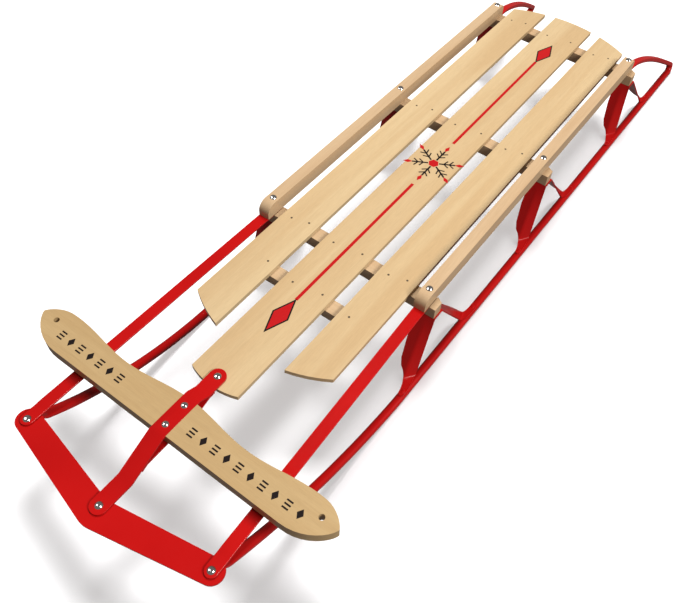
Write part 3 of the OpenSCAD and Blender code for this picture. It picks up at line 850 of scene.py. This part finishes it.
def build_deck_print():
    """A plain stripe with a long diamond at each end and a snow crystal in the middle of the deck."""
    y0, y1 = BENCH_Y[0] - 190, BENCH_Y[2] - 30
    middle = BENCH_Y[0] + 237
    end_inset, crystal_gap, hub_r = 34, 62, 9
    dark, red = bmesh.new(), bmesh.new()
    for sign, end in ((1, y0), (-1, y1)):
        centre = end + sign * end_inset
        plate(dark, diamond(0, centre, 14, 36), SLAT_TOP)
        plate(red, diamond(0, centre, 11.5, 30), SLAT_TOP + 0.06)
        stripe = bar((0, centre + sign * end_inset), (0, middle - sign * crystal_gap), 5.0)
        plate(red, stripe, SLAT_TOP)
    hub = []
    for i in range(6):
        a = math.radians(60 * i)
        hub.append((hub_r * math.cos(a), middle + hub_r * math.sin(a)))
        out = Vector((math.sin(a), math.cos(a)))
        across = Vector((out[1], -out[0]))
        centre = Vector((0, middle))
        plate(dark, bar(tuple(centre + out * hub_r), tuple(centre + out * 36), 3.0), SLAT_TOP)
        plate(red, diamond_along(centre + out * 43, out, across, 8, 3.6), SLAT_TOP)
        for distance in (17, 26):
            root = centre + out * distance
            for hand in (-1, 1):
                tip = root + out * 7 + across * hand * 8
                plate(dark, bar(tuple(root), tuple(tip), 2.2), SLAT_TOP + 0.01)
    plate(red, hub, SLAT_TOP + 0.02)
    add("deck_print_dark", dark, "deck", slot="slat_wood", material=INK_DARK)
    add("deck_print_red", red, "deck", slot="slat_wood", material=INK_RED)


def build_handle_print():
    """Two rows of plain diamonds and dashes on the handle's top."""
    handle_rear, top = mm_box("steering_handle")[1][1:]
    y = handle_rear - 32.5
    bm = bmesh.new()
    for first, last, count in ((-200, -92, 7), (34, 203, 10)):
        for i in range(count):
            x = first + (last - first) * i / (count - 1)
            if i % 2:
                plate(bm, diamond(x, y, 4.6, 7.0), top)
            else:
                for dy in (-5, 0, 5):
                    plate(bm, bar((x - 4.6, y + dy), (x + 4.6, y + dy), 2.2), top)
    add("handle_print", bm, "steering", slot="frame_wood", material=INK_DARK)


# ---------------------------------------------------------------- stage, light, camera


def build_stage():
    """Pale floor, in metres: shadows fall on it, and it sends no light back to the sled."""
    bm = bmesh.new()
    half, z = 30.0, -0.0004
    corners = ((-half, -half, z), (half, -half, z), (half, half, z), (-half, half, z))
    bm.faces.new([bm.verts.new(corner) for corner in corners])
    mesh = bpy.data.meshes.new("floor")
    bm.to_mesh(mesh)
    bm.free()
    floor = bpy.data.objects.new("floor", mesh)
    bpy.context.scene.collection.objects.link(floor)
    shader = Shader("floor_paper")
    shader.set(Base_Color=(0.90, 0.90, 0.91, 1), Roughness=0.9, Specular_IOR_Level=0.1)
    mesh.materials.append(shader.material)
    floor.visible_diffuse = False
    floor.visible_glossy = False
    return floor


def area_light(name, place, target, size, power, colour=(1, 1, 1)):
    """Square lamp at place, facing target; metres and watts."""
    data = bpy.data.lights.new(name, "AREA")
    data.shape = "SQUARE"
    data.size = size
    data.energy = power
    data.color = colour
    light = bpy.data.objects.new(name, data)
    bpy.context.scene.collection.objects.link(light)
    light.location = place
    light.rotation_euler = (Vector(target) - Vector(place)).to_track_quat("-Z", "Y").to_euler()
    return light


def light_only(light, pieces, state="INCLUDE"):
    """Makes a light reach only the given pieces, or with EXCLUDE everything but them."""
    group = bpy.data.collections.new(light.name + "_reach")
    for piece in pieces:
        group.objects.link(piece)
    for member in group.collection_objects:
        member.light_linking.link_state = state
    light.light_linking.receiver_collection = group


def build_light(floor, rivets):
    """Studio light: the overhead lamp gives the floor a soft shadow, which the wash thins.

    The key lights everything but the floor, and the sparkle only puts highlights on the chrome rivets."""
    world = bpy.data.worlds.new("studio")
    bpy.context.scene.world = world
    world.use_nodes = True
    background = world.node_tree.nodes["Background"]
    background.inputs["Color"].default_value = (1.0, 0.93, 0.87, 1)
    background.inputs["Strength"].default_value = 0.17
    overhead = area_light("overhead", (-0.6, 0.9, 3.4), (0, -0.1, 0), size=1.2, power=128)
    overhead.visible_glossy = False
    sparkle = area_light("sparkle", (-1.6, -1.4, 2.2), (0, 0, 0), size=1.0, power=60)
    sparkle.visible_diffuse = False
    light_only(sparkle, rivets)
    wash = bpy.data.objects.new("floor_wash", bpy.data.lights.new("floor_wash", "SUN"))
    bpy.context.scene.collection.objects.link(wash)
    wash.data.energy = 1.6
    wash.data.use_shadow = False
    light_only(wash, [floor])
    key = area_light("key", (2.7, -0.3, 2.5), (0, 0, 0), size=1.0, power=145, colour=(1.0, 0.98, 0.95))
    light_only(key, [floor], "EXCLUDE")


def build_camera():
    """Camera at the photograph's viewing angle; its place is in metres from the front bench."""
    data = bpy.data.cameras.new("camera")
    data.sensor_width = 36.0
    data.lens = 40.23
    data.shift_x = -0.0477
    data.shift_y = -0.0318
    camera = bpy.data.objects.new("camera", data)
    bpy.context.scene.collection.objects.link(camera)
    azimuth, elevation, roll = math.radians(32.0), math.radians(51.48), math.radians(4.77)
    back = Vector((math.sin(azimuth) * math.cos(elevation), -math.cos(azimuth) * math.cos(elevation),
                   math.sin(elevation)))
    right = Vector((math.cos(azimuth), math.sin(azimuth), 0))
    up = back.cross(right)
    right, up = right * math.cos(roll) + up * math.sin(roll), up * math.cos(roll) - right * math.sin(roll)
    turn = Matrix((right, up, back)).transposed().to_4x4()
    camera.matrix_world = Matrix.Translation((0.4262, BENCH_Y[0] * MM - 0.6072, 1.0064)) @ turn
    bpy.context.scene.camera = camera


build_camera()
bpy.context.scene.view_settings.view_transform = "Standard"
build_wood()
for name in SIDES:
    build_runner(name)
    build_strip(name)
    for station in STATIONS:
        build_knee(station, name)
build_straps()
chrome_rivets = build_fasteners()
build_light(build_stage(), chrome_rivets)
build_deck_print()
build_handle_print()
